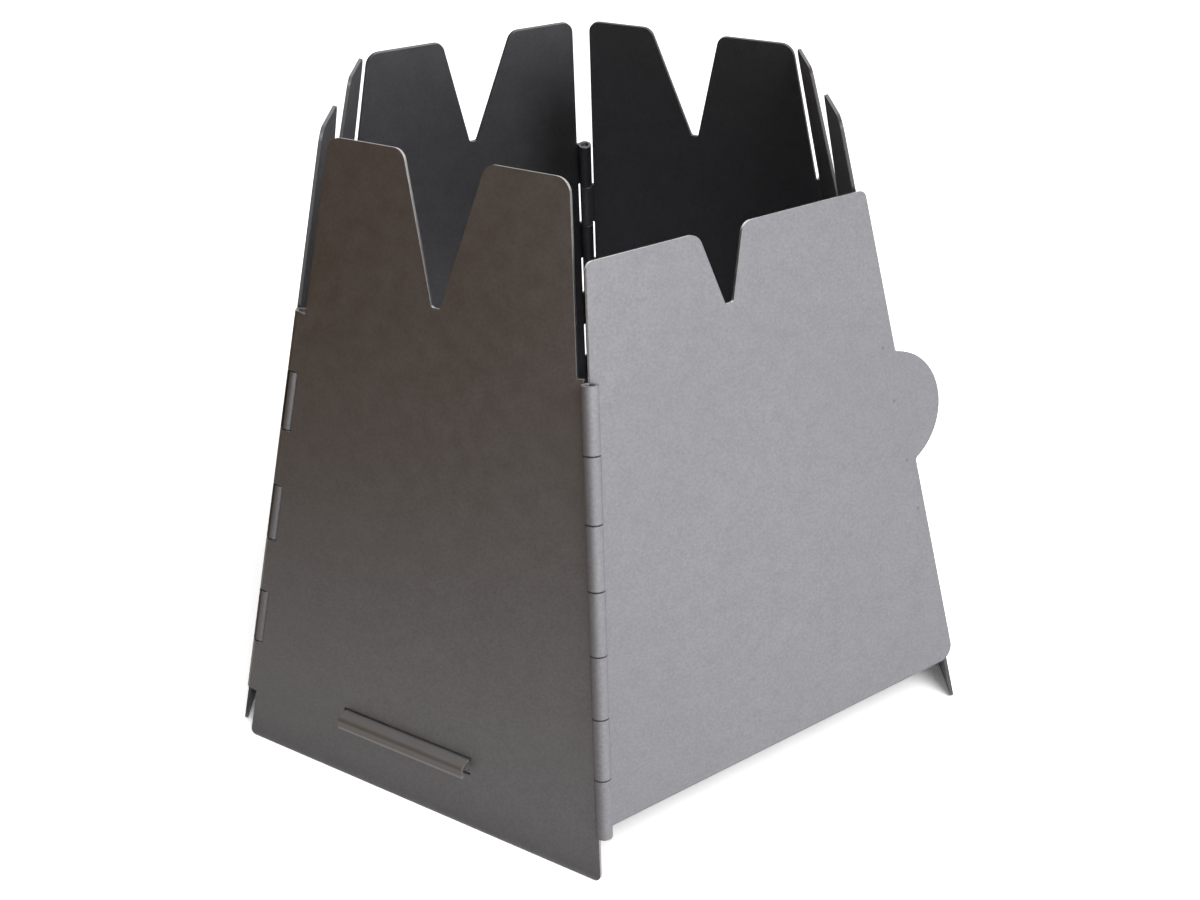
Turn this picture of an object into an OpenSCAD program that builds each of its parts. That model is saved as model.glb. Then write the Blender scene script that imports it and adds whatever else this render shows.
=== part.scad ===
// Folding hexagonal wood stove in stainless sheet: six tapered panels in a chain of five
// rolled hinges, with a perforated fire plate hooked through the panels.
// The ground is z = 0, the stove's axis is Z and the door faces -Y.

/* [Stove] */
// Width across opposite faces, at the ground
base_flats = 127; // [112:0.5:142]
// Width across opposite faces, at the rim
rim_flats = 76.2; // [66:0.2:86]
// Height of the rim above the ground
height = 101.6; // [94:0.2:116]
// Thickness of the panel sheet
sheet = 0.5; // [0.4:0.05:0.6]

/* [Rim and feet] */
// Width of each rim notch at the rim
notch_width = 13.8; // [8:0.2:18]
// Depth of each rim notch, down the slope
notch_depth = 21.4; // [14:0.2:25]
// Flat width at the root of each rim notch
notch_root = 1.4; // [0.8:0.1:3]
// Radius at the mouth of each rim notch
notch_round = 2; // [0.5:0.1:3]
// Radius on the outer corner of each prong
prong_round = 2.4; // [0.5:0.1:4]
// Radius on the outer corner of each foot
foot_round = 1; // [0.5:0.1:3]

/* [Hinges] */
// Diameter of the hinge pins
pin_d = 1.4; // [1:0.05:1.6]
// Radial clearance of a pin in its knuckles
pin_play = 0.04; // [0.02:0.01:0.08]
// Height of the hinges' lower end above the ground
hinge_low = 8.8; // [7.5:0.1:10]
// Height of the hinges' upper end above the ground
hinge_high = 75.8; // [68:0.2:78]
// Knuckles on each hinge, an odd number shared by two panels
knuckles = 7; // [5:2:9]
// Gap between one knuckle and the next
knuckle_gap = 0.3; // [0.15:0.05:0.5]
// Gap between a knuckle and the edge that it turns past
knuckle_relief = 0.3; // [0.2:0.05:0.6]
// Open slit where a rolled knuckle meets its own sheet
roll_slit = 0.12; // [0.08:0.02:0.2]
// Depth of the pin's ends inside the hinge
pin_recess = 0.7; // [0.3:0.1:2]

/* [Door] */
// Height of the door's top edge above the ground
door_high = 91.4; // [86:0.2:93]
// Height of the door's bottom edge above the ground
door_low = 9.4; // [9:0.1:10.5]
// How far the door's free edge stands past the corner
door_overlap = 1.4; // [1:0.1:2.5]
// Sideways place of the door's rim notch, to the right
door_notch_shift = -1.6; // [-3:0.2:3]
// Radius on the door's upper corners
door_round = 1.2; // [0.5:0.1:3]
// Radius on the door's free lower corner
door_foot_round = 2.5; // [0.5:0.1:4]
// Radius of the finger tab
tab_round = 10; // [7:0.5:12]
// Reach of the finger tab past the door's free edge
tab_reach = 7.1; // [4:0.1:9]
// Height of the finger tab's centre, up the slope
tab_place = 58.3; // [45:0.5:68]
// Radius of the fillets beside the finger tab
tab_fillet = 0.7; // [0.4:0.1:3]

/* [Lap strip] */
// Thickness of the strip welded inside the door's free edge
lap_sheet = 0.4; // [0.3:0.05:0.5]
// Lower end of the lap strip, up the slope
lap_low = 35.5; // [25:0.5:42]
// Length of the lap strip
lap_length = 38.5; // [30:0.5:45]
// Width of the strip's welded leg
lap_width = 3.6; // [2.5:0.1:6]
// Reach of the strip's free leg along the next panel
lap_reach = 3; // [2.2:0.1:5]
// Gap between the free leg and the next panel
lap_play = 0.2; // [0.15:0.05:0.3]
// Setback of the panel edge that the door closes on
seam_inset = 1.6; // [1.5:0.1:2.5]
// Setback of the foot below that edge
seam_foot_inset = 1.1; // [0.9:0.1:2.5]
// Setback of the prongs on both sides of the door
door_prong_inset = 2; // [1.7:0.1:3.5]

/* [Fire plate] */
// Thickness of the fire plate
plate_sheet = 0.5; // [0.4:0.05:0.7]
// Height of the fire plate's upper face above the ground
plate_top = 12; // [11.5:0.1:14]
// Gap between the fire plate and the panels
plate_play = 0.35; // [0.25:0.05:0.8]
// Distance from each corner of the plate to the flat that cuts it off
plate_corner_cut = 2.5; // [2.2:0.1:6]
// Diameter of the air holes
vent_d = 6; // [4:0.5:8]
// Distance from one air hole to the next
vent_pitch = 11.5; // [10:0.5:16]
// Least width of plate left outside the air holes
vent_margin = 5; // [4:0.5:10]
// Width of the locating tabs on four sides of the plate
tab_width = 8; // [5:0.5:14]
// Reach of the locating tabs past the panels
tab_proud = 0.6; // [0.3:0.1:1.5]
// Clearance round a tab in its slot
slot_play = 0.3; // [0.2:0.05:0.5]

/* [Hook] */
// Width of the hook that holds the plate to its panel
hook_width = 24.6; // [15:0.2:30]
// Sideways place of the hook, to the right
hook_shift = -1.6; // [-5:0.2:5]
// Reach of the hook past the panel
hook_reach = 2.4; // [2:0.1:3.5]
// Drop of the hook's lip below the plate's upper face
hook_drop = 2.1; // [1.6:0.1:3]
// Outer bend radius of the hook
hook_bend = 0.9; // [0.6:0.1:1.2]
// How far the hook's tongue reaches in over the plate
hook_root = 2; // [1:0.5:4]

/* [Hidden] */

$fn = 32;
ARC_STEPS = 7;

// Directions that the panels face, counter-clockwise from +X: clockwise from the door they are
// a sixth of a turn apart
SIXTH = 360 / 6;
DOOR = -90;
HOOK = DOOR - SIXTH;
BACK_LEFT = HOOK - SIXTH;
BACK = BACK_LEFT - SIXTH;
BACK_RIGHT = BACK - SIXTH;
FRONT_RIGHT = BACK_RIGHT - SIXTH;

// A hinge's barrel stands outside or inside the stove, and every other hinge is turned over,
// so that the chain folds up like a screen
OUTSIDE = true;
INSIDE = false;

// The left edge of a panel, seen from outside, has its end knuckles; the right edge has the rest
LEFT_FIRST = 0;
RIGHT_FIRST = 1;

// Shape of the tapered shell
lean = atan((base_flats - rim_flats) / 2 / height);
slant = height / cos(lean);
base_w = base_flats * tan(SIXTH / 2);
rim_w = rim_flats * tan(SIXTH / 2);
leg_lean = atan((base_w - rim_w) / 2 / slant);
leg = slant / cos(leg_lean);
turn = acos(cos(SIXTH) * pow(cos(lean), 2) + pow(sin(lean), 2));

// The sheet's inner face meets the ground a little later than its outer face
ground = sheet * tan(lean);

// A knuckle's rolled wall stands this much proud of the flat sheet that it is rolled from
roll_step = 0.02;
bore_r = pin_d / 2 + pin_play;
barrel_r = bore_r + sheet + 2 * roll_step;
axis_rise = barrel_r - roll_step;

// Place of a hinge axis beside a corner of the stove: outward from the panel, and past the corner
function axis_z(outside) = outside ? axis_rise - sheet : -axis_rise;
function axis_u(outside) = axis_z(outside) * tan(turn / 2);

// A hinged edge runs straight from foot to prong, clear of the other panel's knuckles
function edge_u(outside) =
    axis_u(outside) - sqrt(pow(barrel_r + knuckle_relief, 2) - pow(axis_rise - sheet, 2));

// Distances along the leg of a panel, from the ground
hinge_start = hinge_low * leg / height;
hinge_end = hinge_high * leg / height;
knuckle_pitch = (hinge_end - hinge_start) / knuckles;
function knuckle_start(i) = hinge_start + i * knuckle_pitch + knuckle_gap / 2;
function knuckle_end(i) = hinge_start + (i + 1) * knuckle_pitch - knuckle_gap / 2;

// Distances up the slope of a panel, from the ground
door_start = door_low / cos(lean);
door_end = door_high / cos(lean);
notch_floor = slant - notch_depth;

// Fire plate
plate_bottom = plate_top - plate_sheet;
plate_flat = base_flats / 2 - plate_top * tan(lean) - sheet / cos(lean) - plate_play;
plate_corner = plate_flat / cos(SIXTH / 2);
face_at_plate = base_flats / 2 - plate_top * tan(lean);
vent_rings = floor((plate_flat - vent_margin - vent_d / 2) / (vent_pitch * cos(SIXTH / 2)));

// A slot is cut square to the sheet, and the level plate crosses it at a slant
slot_low = plate_bottom / cos(lean);
slot_high = (plate_top + sheet * sin(lean)) / cos(lean);

// A point beside the right leg of a panel: u past the corner, s up the leg
function leg_point(u, s) = [
    base_w / 2 + u * cos(leg_lean) - s * sin(leg_lean),
    u * sin(leg_lean) + s * cos(leg_lean)
];

// The same, at a height y up the slope
function level_point(u, y) = leg_point(u, (y - u * sin(leg_lean)) / cos(leg_lean));

// A corner [x, y, radius] drawn as an arc between its neighbours
function unit(v) = v / norm(v);
function corner_arc(before, at, after) =
    let (
        p = [at.x, at.y],
        a = unit([before.x, before.y] - p),
        b = unit([after.x, after.y] - p),
        half = acos(max(-1, min(1, a * b))) / 2,
        centre = p + unit(a + b) * at.z / sin(half),
        first = p + a * at.z / tan(half) - centre,
        last = p + b * at.z / tan(half) - centre,
        start = atan2(first.y, first.x),
        swing = atan2(first.x * last.y - first.y * last.x, first * last)
    )
    [for (i = [0 : ARC_STEPS]) centre + at.z * [cos(start + swing * i / ARC_STEPS),
                                                sin(start + swing * i / ARC_STEPS)]];

// An outline of [x, y, radius] corners as plain points
function rounded(corners) =
    let (n = len(corners))
    [for (i = [0 : n - 1])
        each (corners[i].z == 0
            ? [[corners[i].x, corners[i].y]]
            : corner_arc(corners[(i + n - 1) % n], corners[i], corners[(i + 1) % n]))];

function with_radius(point, radius) = [point.x, point.y, radius];
function mirrored(corners) = [for (i = [len(corners) - 1 : -1 : 0])
    [-corners[i].x, corners[i].y, corners[i].z]];

// Tabs of one edge's knuckles, each rolled at the hinge axis
function knuckle_tabs(outside, first) = [
    for (i = [first : 2 : knuckles - 1])
        each [
            with_radius(leg_point(edge_u(outside), knuckle_start(i)), 0),
            with_radius(leg_point(axis_u(outside), knuckle_start(i)), 0),
            with_radius(leg_point(axis_u(outside), knuckle_end(i)), 0),
            with_radius(leg_point(edge_u(outside), knuckle_end(i)), 0)
        ]
];

// A hinged right edge from a foot to a prong
function hinged_edge(outside, first) = concat(
    [with_radius(level_point(edge_u(outside), ground), foot_round)],
    knuckle_tabs(outside, first),
    [with_radius(level_point(edge_u(outside), slant), prong_round)]
);

// The hook panel's edge beside the door, whose prong stands further back
function hook_edge() = concat(
    [with_radius(level_point(edge_u(OUTSIDE), ground), foot_round)],
    knuckle_tabs(OUTSIDE, RIGHT_FIRST),
    [with_radius(leg_point(edge_u(OUTSIDE), hinge_end + knuckle_gap), 0),
     with_radius(leg_point(-door_prong_inset, hinge_end + knuckle_gap), 0),
     with_radius(level_point(-door_prong_inset, slant), prong_round)]
);

// The free edge that the door closes on
function seam_edge() = [
    with_radius(level_point(-seam_foot_inset, ground), foot_round),
    with_radius(leg_point(-seam_foot_inset, hinge_start), 0),
    with_radius(leg_point(-seam_inset, hinge_start), 0),
    with_radius(leg_point(-seam_inset, hinge_end), 0),
    with_radius(leg_point(-door_prong_inset, hinge_end), 0),
    with_radius(level_point(-door_prong_inset, slant), prong_round)
];

// The door's hinged edge, drawn on the right and mirrored, which runs up to the corner of the
// stove above the hinge, and its free edge
function door_hinged_edge() =
    let (tabs = knuckle_tabs(OUTSIDE, LEFT_FIRST))
    concat(
        [with_radius(level_point(edge_u(OUTSIDE), door_start), 0)],
        [for (i = [0 : len(tabs) - 2]) tabs[i]],
        [with_radius(leg_point(0, knuckle_end(knuckles - 1)), 0),
         with_radius(level_point(0, door_end), door_round)]
    );
function door_free_edge() = [
    with_radius(level_point(door_overlap, door_start), door_foot_round),
    with_radius(level_point(door_overlap, door_end), door_round)
];

// The rim notch, from right to left, below a top edge at height y
function rim_notch(y, shift) =
    let (
        side = (notch_width - notch_root) / 2 / notch_depth,
        mouth = notch_root / 2 + (y - notch_floor) * side,
        root = notch_root / 2,
        root_round = notch_root / 3
    )
    [[shift + mouth, y, notch_round], [shift + root, notch_floor, root_round],
     [shift - root, notch_floor, root_round], [shift - mouth, y, notch_round]];

// Moves a panel drawn flat, x to the right, y up the slope and z outward, to its side
module at_side(side) {
    rotate([0, 0, side]) translate([base_flats / 2, 0, 0])
        rotate([0, -lean, 0]) rotate([90, 0, 90])
            children();
}

// Moves a shape drawn beside a leg, x past the corner and y up the leg, to a panel's right edge
module at_right_edge() {
    translate([base_w / 2, 0, 0]) rotate([0, 0, leg_lean]) children();
}

module at_left_edge() {
    mirror([1, 0, 0]) at_right_edge() children();
}

module flat_sheet(thickness) {
    translate([0, 0, -thickness]) linear_extrude(thickness) children();
}

// Section of one rolled knuckle, x away from the panel, with its centre on the hinge axis
module knuckle_section() {
    difference() {
        circle(barrel_r);
        circle(bore_r);
        translate([-2 * barrel_r, -bore_r - roll_step])
            square([2 * barrel_r - bore_r * 0.4, roll_slit]);
    }
}

// The knuckles of one edge, beside the leg
module rolled_knuckles(outside, first) {
    translate([axis_u(outside), 0, axis_z(outside)])
        for (i = [first : 2 : knuckles - 1])
            translate([0, knuckle_end(i) + roll_step, 0]) rotate([90, 0, 0])
                linear_extrude(knuckle_end(i) - knuckle_start(i) + 2 * roll_step)
                    mirror([0, outside ? 0 : 1]) knuckle_section();
}

// A slot with its lower and upper edges up the slope, and its centre and width across
module slot(low, high, centre, width) {
    translate([centre - width / 2 - slot_play, low - slot_play, -2 * sheet])
        cube([width + 2 * slot_play, high - low + 2 * slot_play, 3 * sheet]);
}

// The panel between two hinges, with the outline of its right edge
module two_hinged(side, left, right, right_edge) {
    at_side(side) {
        flat_sheet(sheet) polygon(rounded(concat(
            right_edge, rim_notch(slant, 0), mirrored(hinged_edge(left, LEFT_FIRST)))));
        at_right_edge() rolled_knuckles(right, RIGHT_FIRST);
        at_left_edge() rolled_knuckles(left, LEFT_FIRST);
    }
}

// The same, with the slot for a locating tab of the fire plate
module slotted_panel(side, left, right) {
    difference() {
        two_hinged(side, left, right, hinged_edge(right, RIGHT_FIRST));
        at_side(side) slot(slot_low, slot_high, 0, tab_width);
    }
}

module hook_panel() {
    color("dimgray") difference() {
        two_hinged(HOOK, INSIDE, OUTSIDE, hook_edge());
        at_side(HOOK) slot(slot_high - hook_drop - sheet, slot_high, hook_shift, hook_width);
    }
}

module back_left_panel() {
    color("slategray") slotted_panel(BACK_LEFT, OUTSIDE, INSIDE);
}

module back_panel() {
    color("slategray") slotted_panel(BACK, INSIDE, OUTSIDE);
}

module back_right_panel() {
    color("dimgray") slotted_panel(BACK_RIGHT, OUTSIDE, INSIDE);
}

module front_right_panel() {
    color("darkgray") difference() {
        at_side(FRONT_RIGHT) {
            flat_sheet(sheet) polygon(rounded(concat(
                hinged_edge(OUTSIDE, RIGHT_FIRST), rim_notch(slant, 0),
                mirrored(seam_edge()))));
            at_right_edge() rolled_knuckles(OUTSIDE, RIGHT_FIRST);
        }
        at_side(FRONT_RIGHT) slot(slot_low, slot_high, 0, tab_width);
    }
}

// The round finger tab on the door's free edge, with a fillet above and below it
module finger_tab() {
    depth = tab_round - tab_reach;
    along = sqrt(pow(tab_round + tab_fillet, 2) - pow(depth + tab_fillet, 2));
    translate([door_overlap, tab_place / cos(leg_lean)]) {
        translate([-depth, 0]) circle(tab_round, $fn = 96);
        for (way = [-1, 1])
            difference() {
                polygon([[-depth, 0], [0, way * along], [tab_fillet, way * along]]);
                translate([tab_fillet, way * along]) circle(tab_fillet);
            }
    }
}

module door_panel() {
    color("silver") at_side(DOOR) {
        flat_sheet(sheet) {
            polygon(rounded(concat(
                door_free_edge(), rim_notch(door_end, door_notch_shift),
                mirrored(door_hinged_edge()))));
            at_right_edge() finger_tab();
        }
        at_left_edge() rolled_knuckles(OUTSIDE, LEFT_FIRST);
    }
}

// Section of the lap strip, x past the corner and y outward from the door: one leg lies on the
// door's inner face, and the other runs along the next panel's outer face
module lap_section() {
    along = [cos(turn), -sin(turn)];
    off = [sin(turn), cos(turn)];
    function on_leg(depth, gap) = ((depth + cos(turn) * gap) / sin(turn)) * along + gap * off;
    far = lap_play + lap_sheet;
    polygon(rounded([
        [-lap_width, -sheet, 0],
        [-lap_width, -sheet - lap_sheet, 0],
        with_radius(on_leg(sheet + lap_sheet, lap_play), lap_sheet / 2),
        with_radius(lap_reach * along + lap_play * off, 0),
        with_radius(lap_reach * along + far * off, 0),
        with_radius(on_leg(sheet, far), lap_sheet * 1.5)
    ]));
}

module door_lap_strip() {
    color("gray") at_side(DOOR) at_right_edge()
        translate([0, lap_low + lap_length, 0]) rotate([90, 0, 0])
            linear_extrude(lap_length) lap_section();
}

// The pin of the hinge on the right edge of a panel
module hinge_pin(side, outside) {
    color("lightgray") at_side(side) at_right_edge()
        translate([axis_u(outside), hinge_start + pin_recess, axis_z(outside)])
            rotate([-90, 0, 0])
                cylinder(h = hinge_end - hinge_start - 2 * pin_recess, r = pin_d / 2);
}

// Air holes in rings of six, in a triangular pattern
module vents() {
    circle(d = vent_d);
    for (ring = [1 : vent_rings], side = [0 : 5], i = [0 : ring - 1])
        rotate(SIXTH * side)
            translate(vent_pitch * [ring - i * cos(SIXTH), i * sin(SIXTH)])
                circle(d = vent_d);
}

// The plate's tongue through the hook panel, bent down outside it
module hook() {
    tip = face_at_plate + hook_reach;
    root = plate_flat - hook_root;
    rotate([0, 0, HOOK]) translate([0, hook_shift + hook_width / 2, 0])
        rotate([90, 0, 0]) linear_extrude(hook_width)
            polygon(rounded([
                [root, plate_bottom, 0],
                [tip - plate_sheet, plate_bottom, hook_bend - plate_sheet],
                [tip - plate_sheet, plate_top - hook_drop, 0],
                [tip, plate_top - hook_drop, 0],
                [tip, plate_top, hook_bend],
                [root, plate_top, 0]
            ]));
}

module fire_plate() {
    color("gray") {
        translate([0, 0, plate_bottom]) linear_extrude(plate_sheet) difference() {
            union() {
                intersection() {
                    circle(plate_corner, $fn = 6);
                    rotate(SIXTH / 2)
                        circle((plate_corner - plate_corner_cut) / cos(SIXTH / 2), $fn = 6);
                }
                for (side = [BACK_LEFT, BACK, BACK_RIGHT, FRONT_RIGHT])
                    rotate(side) translate([0, -tab_width / 2])
                        square([face_at_plate + tab_proud, tab_width]);
            }
            vents();
        }
        hook();
    }
}

door_panel();
door_lap_strip();
hook_panel();
back_left_panel();
back_panel();
back_right_panel();
front_right_panel();
hinge_pin(HOOK, OUTSIDE);  // door_hinge_pin
hinge_pin(BACK_LEFT, INSIDE);  // left_hinge_pin
hinge_pin(BACK, OUTSIDE);  // back_left_hinge_pin
hinge_pin(BACK_RIGHT, INSIDE);  // back_right_hinge_pin
hinge_pin(FRONT_RIGHT, OUTSIDE);  // right_hinge_pin
fire_plate();
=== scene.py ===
import bpy
import numpy as np
from mathutils import Matrix, Vector


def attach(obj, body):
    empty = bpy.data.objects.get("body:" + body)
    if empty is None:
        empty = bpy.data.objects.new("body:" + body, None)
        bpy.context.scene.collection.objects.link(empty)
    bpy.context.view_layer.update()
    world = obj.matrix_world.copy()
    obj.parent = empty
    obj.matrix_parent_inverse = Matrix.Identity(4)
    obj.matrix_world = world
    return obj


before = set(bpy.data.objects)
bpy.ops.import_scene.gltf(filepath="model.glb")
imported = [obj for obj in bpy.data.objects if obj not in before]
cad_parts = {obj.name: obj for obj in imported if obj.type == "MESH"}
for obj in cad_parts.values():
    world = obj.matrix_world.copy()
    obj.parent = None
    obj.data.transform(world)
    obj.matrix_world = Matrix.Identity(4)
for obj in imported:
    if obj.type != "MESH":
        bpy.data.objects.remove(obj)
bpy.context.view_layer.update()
mm = 0.001


# The stove's own geometry, from which the materials know where they are

stove = {
    "baseFlats": 127 * mm,  # across opposite faces, at the ground
    "rimFlats": 76.2 * mm,  # the same, at the rim
    "height": 101.6 * mm,
    "sheet": 0.5 * mm,
    "plateMiddle": 11.75 * mm,  # height of the middle of the fire plate's sheet
    "sides": {  # direction that each panel faces, in degrees from +X
        "door_panel": -90,
        "door_lap_strip": -90,
        "hook_panel": -150,
        "back_left_panel": 150,
        "back_panel": 90,
        "back_right_panel": 30,
        "front_right_panel": -30,
    },
}
lean = np.arctan((stove["baseFlats"] - stove["rimFlats"]) / 2 / stove["height"])
halfBase = stove["baseFlats"] / 2 * np.tan(np.radians(30))  # half a panel's width, at the ground
halfRim = stove["rimFlats"] / 2 * np.tan(np.radians(30))
taper = (halfBase - halfRim) / stove["height"]


def facing(side):
    a = np.radians(side)
    return np.array([np.cos(a), np.sin(a), 0])


def panelAxes(side):
    # Right, up the slope and outward, for someone who looks at the panel from outside
    away = facing(side)
    right = np.array([-away[1], away[0], 0])
    up = np.array([0, 0, np.cos(lean)]) - away * np.sin(lean)
    outward = np.array([0, 0, np.sin(lean)]) + away * np.cos(lean)
    return right, up, outward


def onPanel(side, x, y, z):
    # Point of the stove = foot of the panel + x right + y up + z out
    foot = stove["baseFlats"] / 2 * facing(side)
    right, up, outward = panelAxes(side)
    return foot + np.multiply.outer(x, right) + np.multiply.outer(y, up) + np.multiply.outer(z, outward)


# Shader helpers


class Shader:
    # A node tree that is written from left to right
    def __init__(self, tree):
        self.tree = tree
        self.tree.nodes.clear()

    def node(self, kind, **settings):
        made = self.tree.nodes.new(kind)
        for name, value in settings.items():
            setattr(made, name, value)
        return made

    def put(self, socket, value):
        if isinstance(value, bpy.types.NodeSocket):
            self.tree.links.new(value, socket)
        else:
            socket.default_value = value

    def place(self):
        return self.node("ShaderNodeTexCoord").outputs["Object"]

    def math(self, operation, *values):
        made = self.node("ShaderNodeMath", operation=operation)
        for socket, value in zip(made.inputs, values):
            self.put(socket, value)
        return made.outputs[0]

    def scaled(self, value, factor):
        return self.math("MULTIPLY", value, factor)

    def dot(self, vector, axis):
        made = self.node("ShaderNodeVectorMath", operation="DOT_PRODUCT")
        self.put(made.inputs[0], vector)
        made.inputs[1].default_value = tuple(axis)
        return made.outputs["Value"]

    def vector(self, x, y, z):
        made = self.node("ShaderNodeCombineXYZ")
        for socket, value in zip(made.inputs, (x, y, z)):
            self.put(socket, value)
        return made.outputs[0]

    def stretched(self, vector, scale):
        made = self.node("ShaderNodeVectorMath", operation="MULTIPLY")
        self.put(made.inputs[0], vector)
        made.inputs[1].default_value = scale
        return made.outputs[0]

    def noise(self, vector, size, detail, roughness):
        made = self.node("ShaderNodeTexNoise")
        self.put(made.inputs["Vector"], vector)
        made.inputs["Scale"].default_value = 1 / size
        made.inputs["Detail"].default_value = detail
        made.inputs["Roughness"].default_value = roughness
        return made.outputs["Fac"]

    def ramp(self, value, low, high, start=0.0, end=1.0):
        # value from low..high becomes start..end, smoothly and clamped
        made = self.node("ShaderNodeMapRange", interpolation_type="SMOOTHSTEP")
        for socket, number in zip(made.inputs, (value, low, high, start, end)):
            self.put(socket, number)
        return made.outputs[0]

    def mix(self, factor, first, second, blend="MIX"):
        made = self.node("ShaderNodeMix", data_type="RGBA", blend_type=blend)
        self.put(made.inputs["Factor"], factor)
        colours = [socket for socket in made.inputs if socket.type == "RGBA"]
        self.put(colours[0], first)
        self.put(colours[1], second)
        return [socket for socket in made.outputs if socket.type == "RGBA"][0]

    def metal(self, colour, roughness):
        made = self.node("ShaderNodeBsdfPrincipled")
        made.inputs["Metallic"].default_value = 1.0
        self.put(made.inputs["Base Color"], colour)
        self.put(made.inputs["Roughness"], roughness)
        return made

    def surface(self, shader, kind="ShaderNodeOutputMaterial"):
        self.put(self.node(kind).inputs["Surface"], shader.outputs[0])


def newMaterial(name):
    material = bpy.data.materials.new(name)
    material.use_nodes = True
    return material, Shader(material.node_tree)


def rgba(colour):
    return (*colour, 1.0)


def grey(value):
    return (value, value, value, 1.0)


# Satin stainless sheet

paintedHighlightEdge = (0.97, 0.96, 0.95)  # painted highlight on the cut edges of the door
plainEdge = (0.60, 0.585, 0.57)  # cut edges, paler than the sheet: partly fresh metal, partly a painted highlight
paintedShadeEdge = (0.15, 0.15, 0.155)  # painted shade on cut edges
steel = {
    "light": (0.399, 0.397, 0.420),  # the two tones that grain and mottle run between
    "dark": (0.304, 0.302, 0.322),
    "tonesAndPaintedLight": {  # sheets painted paler or darker than the others: the back panel paler and the back right panel darker, as painted light and shade inside the stove; the fire plate darker
        "back_panel": 1.22,
        "back_right_panel": 0.80,
        "fire_plate": 0.75,
    },
    "edges": {  # painted highlight on the door's edges, painted shade on the back and right panels' edges; all others have the plain one
        "door_panel": paintedHighlightEdge,
        "back_left_panel": paintedShadeEdge,
        "back_panel": paintedShadeEdge,
        "back_right_panel": paintedShadeEdge,
        "front_right_panel": paintedShadeEdge,
    },
    "cutFrom": (0.49, 0.43),  # off the sheet's middle, in thicknesses, where a cut edge begins and is full
    "edgeRound": 0.14 * mm,  # burr rolled off the cut edges
    "bevelSamples": 4,
    "noises": {  # size, detail and roughness of each
        "grain": (0.09 * mm, 1.0, 0.5),  # blasted grain
        "speckle": (0.42 * mm, 2.0, 0.5),
        "mottle": (2.6 * mm, 3.0, 0.6),
        "cloud": (38 * mm, 2.0, 0.5),
    },
    "rollMarks": (0.18 * mm, 2.0, 0.5),  # fine marks of the rolling mill, which run up the panel
    "rollStretch": (1.0, 0.06, 1.0),
    "shares": {"speckle": 0.44, "grain": 0.36, "mottle": 0.2},  # of three noises in the sheet's tone
    "toneSpread": (0.3, 0.7),  # range of their sum that runs from dark to light
    "cloudSpread": (0.35, 0.65),
    "cloudDepth": 0.2,  # how far the clouds turn the tone to the dark one
    "roughness": 0.48,
    "edgeRoughness": 0.34,
    "roughDepths": {"mottle": 0.015, "cloud": 0.01},  # how far two noises change the roughness
    "roughSpread": (0.3, 0.7),  # range of each over which they do
    "bumpStrength": 0.35,
    "bumpHeight": 0.012 * mm,
    "rollBump": 0.5,  # share of the rolling marks in the bump
}
knuckle = {  # outside the sheet the rolled knuckles are rougher, and a little paler as a painted highlight
    "from": (0.5 * mm, 0.9 * mm),  # off the sheet's middle, where a knuckle begins and is full
    "tone": 1.12,
    "roughness": 0.68,
}
backCornerShade = {  # painted shade: the inside of the back panel is painted darker into its corner with the back right panel
    "node": "back_panel",
    "reach": (18.0 * mm, 5.0 * mm),  # distance from that corner at which it begins and is full
    "height": (99.0 * mm, 78.0 * mm),  # and the same in height
    "depth": 0.57,
}
hook = {  # the fire plate's hook, outside the hook panel, is rougher and painted lighter as painted light
    "node": "fire_plate",
    "side": stove["sides"]["hook_panel"],
    "from": (60.2 * mm, 60.8 * mm),  # distance from the stove's axis at which it begins and is full
    "colour": (0.366, 0.356, 0.358),
    "lip": (0.53, 0.52, 0.53),  # painted highlight along its lower edge
    "lipHeight": (10.55 * mm, 10.25 * mm),
    "roughness": 0.66,
}


def sheetPlace(s, place, side):
    # Coordinates along the sheet, and how far the point lies outside the sheet's middle
    if side is None:
        return place, s.math("SUBTRACT", s.dot(place, (0, 0, 1)), stove["plateMiddle"])
    right, up, outward = panelAxes(side)
    local = s.vector(s.dot(place, right), s.dot(place, up), s.dot(place, outward))
    middle = stove["baseFlats"] / 2 * np.cos(lean) - stove["sheet"] / 2
    return local, s.math("SUBTRACT", s.dot(place, outward), middle)


def cornerShade(s, place, fromMiddle):
    # Painted shade: 1 deep in the back panel's inside corner, 0 away from it
    # Distance from the corner line = half the panel's width at that height - distance from its middle
    right = panelAxes(stove["sides"][backCornerShade["node"]])[0]
    toCorner = s.math("SUBTRACT", halfBase, s.dot(place, np.array([0, 0, taper]) - right))
    near = s.ramp(toCorner, *backCornerShade["reach"])
    inside = s.ramp(fromMiddle, stove["sheet"] / 4, -stove["sheet"] / 4)
    low = s.ramp(s.dot(place, (0, 0, 1)), *backCornerShade["height"])
    return s.scaled(s.scaled(near, s.scaled(inside, low)), backCornerShade["depth"])


def sheetTone(s, node, noises):
    # Painted light and shade: some sheets' tones are raised or lowered
    tone = steel["tonesAndPaintedLight"].get(node, 1.0)
    dark = rgba(np.multiply(steel["dark"], tone))
    light = rgba(np.multiply(steel["light"], tone))
    speckle, grain, mottle = (s.scaled(noises[k], share) for k, share in steel["shares"].items())
    spread = s.math("ADD", s.math("ADD", speckle, grain), mottle)
    base = s.mix(s.ramp(spread, *steel["toneSpread"]), dark, light)
    return s.mix(s.ramp(noises["cloud"], *steel["cloudSpread"], 0.0, steel["cloudDepth"]), base, dark)


def sheetRoughness(s, noises):
    spread = steel["roughSpread"]
    changes = [s.ramp(noises[k], *spread, -depth, depth) for k, depth in steel["roughDepths"].items()]
    return s.math("ADD", s.math("ADD", *changes), steel["roughness"])


def movedTo(s, rough, mask, roughness):
    # The sheet's roughness moves to another one where the mask is 1
    return s.math("ADD", rough, s.scaled(mask, roughness - steel["roughness"]))


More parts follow.
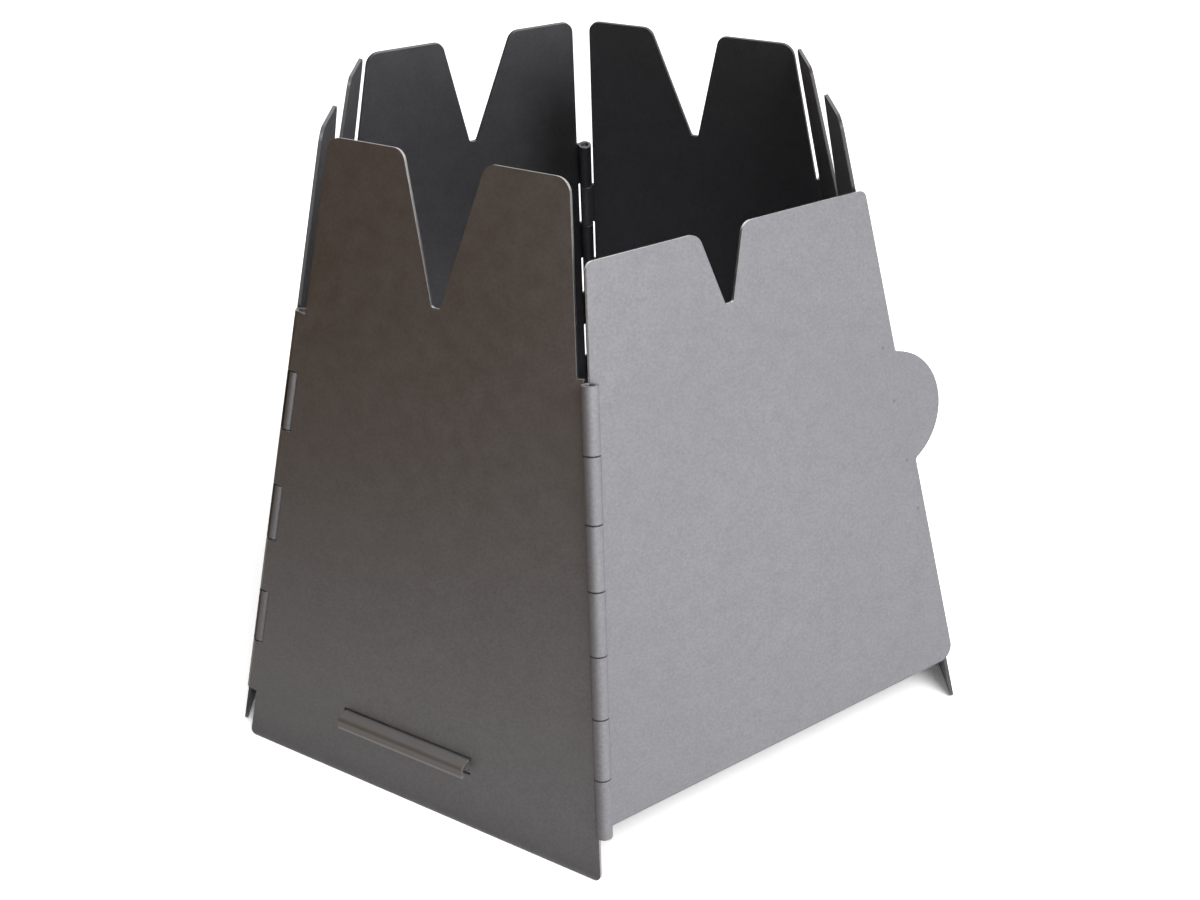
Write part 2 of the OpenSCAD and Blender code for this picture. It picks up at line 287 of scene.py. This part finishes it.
def sheetNormal(s, local, noises):
    # Rounded edges, under a bump of grain and rolling marks
    rounded = s.node("ShaderNodeBevel", samples=steel["bevelSamples"])
    rounded.inputs["Radius"].default_value = steel["edgeRound"]
    rollMarks = s.noise(s.stretched(local, steel["rollStretch"]), *steel["rollMarks"])
    bump = s.node("ShaderNodeBump")
    bump.inputs["Strength"].default_value = steel["bumpStrength"]
    bump.inputs["Distance"].default_value = steel["bumpHeight"]
    s.put(bump.inputs["Height"], s.math("ADD", noises["grain"], s.scaled(rollMarks, steel["rollBump"])))
    s.put(bump.inputs["Normal"], rounded.outputs[0])
    return bump.outputs[0]


def steelMaterial(name, node=None):
    material, s = newMaterial(name)
    place = s.place()
    side = stove["sides"].get(node)
    local, fromMiddle = sheetPlace(s, place, side)
    noises = {k: s.noise(local, *values) for k, values in steel["noises"].items()}
    base = sheetTone(s, node, noises)
    rough = sheetRoughness(s, noises)

    # Painted shade, darkening the back panel's inside corner
    if node == backCornerShade["node"]:
        base = s.mix(cornerShade(s, place, fromMiddle), base, grey(0))
    cut = s.ramp(s.math("ABSOLUTE", fromMiddle), *np.multiply(steel["cutFrom"], stove["sheet"]))
    # Cut edges take their sheet's edge colour: painted highlight or painted shade on some sheets
    base = s.mix(cut, base, rgba(steel["edges"].get(node, plainEdge)))
    rough = movedTo(s, rough, cut, steel["edgeRoughness"])
    if side is not None:
        curled = s.ramp(fromMiddle, *knuckle["from"])
        # Painted highlight: the knuckles are made paler
        base = s.mix(curled, base, grey(knuckle["tone"]), "MULTIPLY")
        rough = movedTo(s, rough, curled, knuckle["roughness"])
    if node == hook["node"]:
        # Painted light on the hook, with a painted highlight along its lower edge
        hooked = s.ramp(s.dot(place, facing(hook["side"])), *hook["from"])
        lip = s.ramp(s.dot(place, (0, 0, 1)), *hook["lipHeight"])
        base = s.mix(hooked, base, s.mix(lip, rgba(hook["colour"]), rgba(hook["lip"])))
        rough = movedTo(s, rough, hooked, hook["roughness"])

    shader = s.metal(base, rough)
    s.put(shader.inputs["Normal"], sheetNormal(s, local, noises))
    s.surface(shader)
    return material


def dress(node, material):
    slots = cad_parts[node].data.materials
    slots.clear()
    slots.append(material)


for node in stove["sides"]:
    dress(node, steelMaterial(node + "Steel", node))
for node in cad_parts:
    if node.endswith("_pin"):
        dress(node, steelMaterial(node + "Wire"))
dress("fire_plate", steelMaterial("firePlateSteel", "fire_plate"))
print("steel on", len(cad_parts), "nodes")


# Spot weld marks on the door, where the lap strip is fixed behind it

weldMarks = {
    "insets": (0.93 * mm, 0.78 * mm, 0.45 * mm, 0.09 * mm),  # from the corner line, top to bottom
    "heights": (69.25 * mm, 60.03 * mm, 49.28 * mm, 40.15 * mm),  # up the slope
    "radius": 0.28 * mm,
    "crown": 0.02 * mm,
    "rings": 8,  # radii, of which the last is the middle
    "around": 32,
    "colour": (0.17, 0.162, 0.165),
    "pale": 2.2,  # the lighter specks, times that colour
    "speck": (0.15 * mm, 2.0, 0.5),  # size, detail and roughness of their noise
    "specks": (0.2, 0.8),  # range of the specks over which the roughness changes
    "roughness": (0.45, 0.65),
}


def markMaterial():
    material, s = newMaterial("weldMark")
    specks = s.noise(s.place(), *weldMarks["speck"])
    dark = rgba(weldMarks["colour"])
    light = rgba(np.multiply(weldMarks["colour"], weldMarks["pale"]))
    rough = s.ramp(specks, *weldMarks["specks"], *weldMarks["roughness"])
    s.surface(s.metal(s.mix(specks, dark, light), rough))
    return material


def weldMark(name, x, y, material):
    # Crown: height = crown * (1 - (r / radius)^2), on circles of radius r about the mark's middle,
    # from the sheet (r = radius) up to the middle (r = 0), which is one point
    radius, crown, rings, around = (weldMarks[k] for k in ("radius", "crown", "rings", "around"))
    r = np.linspace(1.0, 0.0, rings)[:-1, None] * radius
    t = np.linspace(0, 2 * np.pi, around, endpoint=False)[None, :]
    across = np.append(x + r * np.cos(t), x)
    along = np.append(y + r * np.sin(t), y)
    above = np.append(crown * (1 - (r / radius) ** 2) + 0 * t, crown)
    points = onPanel(stove["sides"]["door_panel"], across, along, above)

    start = np.arange(rings - 2)[:, None] * around
    step = np.arange(around)
    after = (step + 1) % around
    quads = np.stack([start + step, start + after, start + around + after, start + around + step], -1)
    inmost = (rings - 2) * around
    fan = np.stack([inmost + step, inmost + after, np.full(around, len(points) - 1)], -1)

    mesh = bpy.data.meshes.new(name)
    mesh.from_pydata(points.tolist(), [], quads.reshape(-1, 4).tolist() + fan.tolist())
    mesh.validate()
    mesh.shade_smooth()
    mesh.materials.append(material)
    piece = bpy.data.objects.new(name, mesh)
    bpy.context.scene.collection.objects.link(piece)
    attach(piece, "door")


burnt = markMaterial()
for number, (inset, height) in enumerate(zip(weldMarks["insets"], weldMarks["heights"]), 1):
    halfWidth = halfBase - taper * height * np.cos(lean)
    weldMark(f"weld_mark_{number}", halfWidth - inset, height, burnt)
print("weld marks")


# Camera, from the photograph's perspective

camera = {
    "position": (-99.113 * mm, -173.522 * mm, 157.826 * mm),
    "back": (-0.44806, -0.71915, 0.53110),  # from the scene toward the camera
    "roll": -0.75,  # degrees
    "focal": 1248.0,  # in pixels, as the centre
    "centre": (634.25, 450.28),
    "picture": (1200, 900),
    "sensor": 36.0,  # width in millimetres
    "clip": (0.01, 20.0),
}
back = np.array(camera["back"]) / np.linalg.norm(camera["back"])
level = np.cross((0, 0, 1), back)
level /= np.linalg.norm(level)
upright = np.cross(back, level)
roll = np.radians(camera["roll"])
axisX = np.cos(roll) * level + np.sin(roll) * upright
axisY = np.cos(roll) * upright - np.sin(roll) * level
pictureWidth, pictureHeight = camera["picture"]
lensData = bpy.data.cameras.new("camera")
lensData.sensor_width = camera["sensor"]
lensData.lens = camera["focal"] * camera["sensor"] / pictureWidth
lensData.shift_x = (pictureWidth / 2 - camera["centre"][0]) / pictureWidth
lensData.shift_y = (camera["centre"][1] - pictureHeight / 2) / pictureWidth
lensData.clip_start, lensData.clip_end = camera["clip"]
view = bpy.data.objects.new("camera", lensData)
pose = np.eye(4)
pose[:3] = np.stack([axisX, axisY, back, camera["position"]], -1)
view.matrix_world = Matrix(pose.tolist())
bpy.context.scene.collection.objects.link(view)
bpy.context.scene.camera = view
print("camera")


# White studio: a pale floor, a white surround, one soft lamp, and dark cards that only reflections see

studio = {
    "floorSize": 6.0,
    "floor": 0.93,
    "floorSeen": 1.70,  # its grey for the camera alone, which lifts it to white
    "surround": 0.60,  # light from all round
    "lamp": {"place": (0.0, -0.9, 1.0), "size": 0.9, "power": 10.8},
}
cards = {
    "near": (0.381, 0.370, 0.355),  # glow close to the stove
    "far": (0.096, 0.041, 0.0),  # further off to the left
    "behind": (0.088, 0.055, 0.026),  # behind the stove
    "high": (0.098, 0.066, 0.038),  # and at the top of the leaning card
    "farFrom": (0.07, 0.42),  # distances over which each of them takes over
    "behindFrom": (0.04, 0.16),
    "highFrom": (0.22, 0.36),
    "shadeSide": stove["sides"]["hook_panel"],  # painted shadow: beside this panel's foot a strip of the cards is darker
    "shadeReach": (63.5 * mm, 75.5 * mm),
    "shadeTone": 0.6,
    "gap": 0.3 * mm,  # between the stove's foot and the cards on the floor
    "lift": 0.1 * mm,
    "left": -0.45,  # x of their left end
    "back": 0.9,  # how far they reach behind, and the back card to the right
    "front": 0.28,  # and in front
    "head": (-0.12, 1.1),  # x and z of the leaning card's top
    "headFront": 0.7,  # how far that top reaches in front
}


def stageSheet(name, corners, material):
    mesh = bpy.data.meshes.new(name)
    mesh.from_pydata(corners, [], [tuple(range(len(corners)))])
    mesh.materials.append(material)
    piece = bpy.data.objects.new(name, mesh)
    bpy.context.scene.collection.objects.link(piece)
    return piece


def floorMaterial():
    material, s = newMaterial("floor")
    shader = s.node("ShaderNodeBsdfDiffuse")
    seen = s.node("ShaderNodeLightPath").outputs["Is Camera Ray"]
    s.put(shader.inputs["Color"], s.mix(seen, grey(studio["floor"]), grey(studio["floorSeen"])))
    s.surface(shader)
    return material


def cardMaterial():
    material, s = newMaterial("card")
    place = s.place()
    away = s.ramp(s.dot(place, (-1, 0, 0)), *cards["farFrom"])
    behind = s.ramp(s.dot(place, (0, 1, 0)), *cards["behindFrom"])
    high = s.ramp(s.dot(place, (0, 0, 1)), *cards["highFrom"])
    # Painted shadow: a darker strip of the cards beside the hook panel's foot
    foot = s.ramp(s.dot(place, facing(cards["shadeSide"])), *cards["shadeReach"], cards["shadeTone"], 1.0)
    colour = s.mix(away, rgba(cards["near"]), rgba(cards["far"]))
    colour = s.mix(behind, colour, rgba(cards["behind"]))
    colour = s.mix(foot, grey(0), colour)
    colour = s.mix(high, colour, rgba(cards["high"]))
    glow = s.node("ShaderNodeEmission")
    s.put(glow.inputs["Color"], colour)
    s.surface(glow)
    return material


halfFloor = studio["floorSize"] / 2
floorCorners = [(x * halfFloor, y * halfFloor, 0) for x, y in ((-1, -1), (1, -1), (1, 1), (-1, 1))]
stageSheet("floor", floorCorners, floorMaterial())

# The cards on the floor end at a hexagon round the stove's foot, whose corners are these
tipX = stove["baseFlats"] / np.sqrt(3) + cards["gap"]
sideX = tipX / 2
sideY = tipX * np.sqrt(3) / 2
left, rear, front, lift = (cards[k] for k in ("left", "back", "front", "lift"))
headX, headZ = cards["head"]
cardCorners = {
    "card_left": [
        (-tipX, 0, lift),
        (-sideX, -sideY, lift),
        (-sideX, -front, lift),
        (left, -front, lift),
        (left, rear, lift),
        (-sideX, rear, lift),
        (-sideX, sideY, lift),
    ],
    "card_back": [
        (-sideX, sideY, lift),
        (-sideX, rear, lift),
        (rear, rear, lift),
        (rear, 0, lift),
        (tipX, 0, lift),
        (sideX, sideY, lift),
    ],
    "card_head": [
        (left, -front, lift),
        (left, rear, lift),
        (headX, rear, headZ),
        (headX, -cards["headFront"], headZ),
    ],
}
cardGlow = cardMaterial()
for name, corners in cardCorners.items():
    card = stageSheet(name, corners, cardGlow)
    card.visible_camera = False
    card.visible_diffuse = False
    card.visible_shadow = False
    card.visible_transmission = False


def makeSurround():
    # White where it is looked at, directly or as a reflection, and dimmer as a light
    world = bpy.data.worlds.new("surround")
    bpy.context.scene.world = world
    world.use_nodes = True
    s = Shader(world.node_tree)
    rays = s.node("ShaderNodeLightPath").outputs
    seen = s.math("MAXIMUM", rays["Is Camera Ray"], rays["Is Transmission Ray"])
    seen = s.math("MAXIMUM", seen, rays["Is Glossy Ray"])
    surround = s.node("ShaderNodeBackground")
    s.put(surround.inputs["Color"], s.mix(seen, grey(studio["surround"]), grey(1)))
    s.surface(surround, "ShaderNodeOutputWorld")


makeSurround()

lampData = bpy.data.lights.new("soft_lamp", "AREA")
lampData.shape = "DISK"
lampData.size = studio["lamp"]["size"]
lampData.energy = studio["lamp"]["power"]
lamp = bpy.data.objects.new("soft_lamp", lampData)
lamp.location = studio["lamp"]["place"]
lamp.rotation_mode = "QUATERNION"
lamp.rotation_quaternion = (-Vector(studio["lamp"]["place"])).to_track_quat("-Z", "Y")
bpy.context.scene.collection.objects.link(lamp)
print("studio")

bpy.context.scene.view_settings.view_transform = "Standard"
